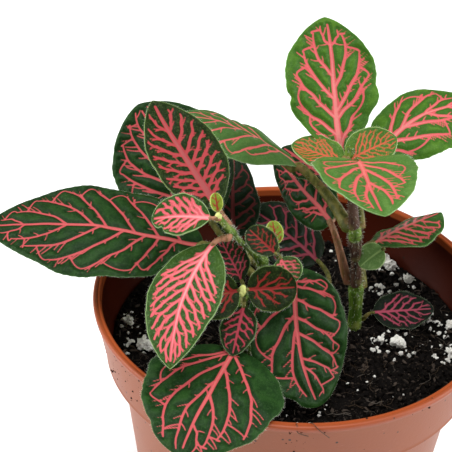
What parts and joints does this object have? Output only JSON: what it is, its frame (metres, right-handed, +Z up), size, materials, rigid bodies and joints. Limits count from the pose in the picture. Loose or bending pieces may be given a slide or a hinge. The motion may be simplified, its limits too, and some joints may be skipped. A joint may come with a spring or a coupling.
{
  "type": "potted nerve plant",
  "caption": "Small nerve plant with pink-veined green leaves on short hairy stems, growing in peat in a tapered plastic nursery pot with a collar.",
  "frame": {"origin": "centre of the pot's flat base, on the plane it stands on", "axes": "+Z up along the pot's axis; the tall shoot stands on the +X side, the long leaf points to -X, and -Y is the front, where a leaf hangs over the rim"},
  "size_m": [0.1332, 0.1157, 0.155],
  "materials": {
    "pot_plastic": "satin",
    "peat": "matt, damp and crumbly",
    "perlite": "matt, rough",
    "stem_green": "satin, finely hairy",
    "stem_brown": "satin, finely hairy",
    "leaf_old": "satin, pink-veined",
    "leaf_young": "satin, pink-veined",
    "leaf_pink": "satin, pink with green islands",
    "leaf_shaded": "satin, magenta-veined",
    "leaf_bud": "satin"
  },
  "bodies": {
    "root": {"leaf_inner_bud": "leaf_bud", "leaf_inner_large": "leaf_old", "leaf_inner_pair_left": "leaf_old", "leaf_inner_pair_right": "leaf_pink", "leaf_inner_shaded": "leaf_shaded", "leaf_left_back_round": "leaf_old", "leaf_left_bud": "leaf_bud", "leaf_left_front_pink": "leaf_pink", "leaf_left_long": "leaf_old", "leaf_left_shaded": "leaf_shaded", "leaf_left_tip": "leaf_pink", "leaf_left_upright_young": "leaf_young", "leaf_middle_back": "leaf_pink", "leaf_middle_hanging": "leaf_shaded", "leaf_middle_pair_left": "leaf_old", "leaf_middle_pair_right": "leaf_old", "leaf_middle_rim_drape": "leaf_old", "leaf_on_soil": "leaf_shaded", "leaf_tall_front": "leaf_young", "leaf_tall_hidden": "leaf_old", "leaf_tall_left_long": "leaf_old", "leaf_tall_low_left": "leaf_old", "leaf_tall_low_right": "leaf_old", "leaf_tall_right": "leaf_young", "leaf_tall_upright": "leaf_young", "leaf_tall_young_left": "leaf_young", "leaf_tall_young_right": "leaf_young", "perlite_01": "perlite", "perlite_02": "perlite", "perlite_03": "perlite", "perlite_04": "perlite", "perlite_05": "perlite", "perlite_06": "perlite", "perlite_07": "perlite", "perlite_08": "perlite", "perlite_09": "perlite", "perlite_10": "perlite", "pot": "pot_plastic", "soil": "peat", "stem_inner_lower": "stem_green", "stem_inner_middle": "stem_green", "stem_inner_tip": "stem_green", "stem_left_lower": "stem_green", "stem_left_middle": "stem_green", "stem_left_tip": "stem_green", "stem_left_upper": "stem_green", "stem_middle_lower": "stem_green", "stem_middle_tip": "stem_green", "stem_middle_upper": "stem_green", "stem_tall_lower": "stem_green", "stem_tall_middle": "stem_brown", "stem_tall_tip": "stem_green", "stem_tall_upper": "stem_brown"}
  },
  "joints": []
}
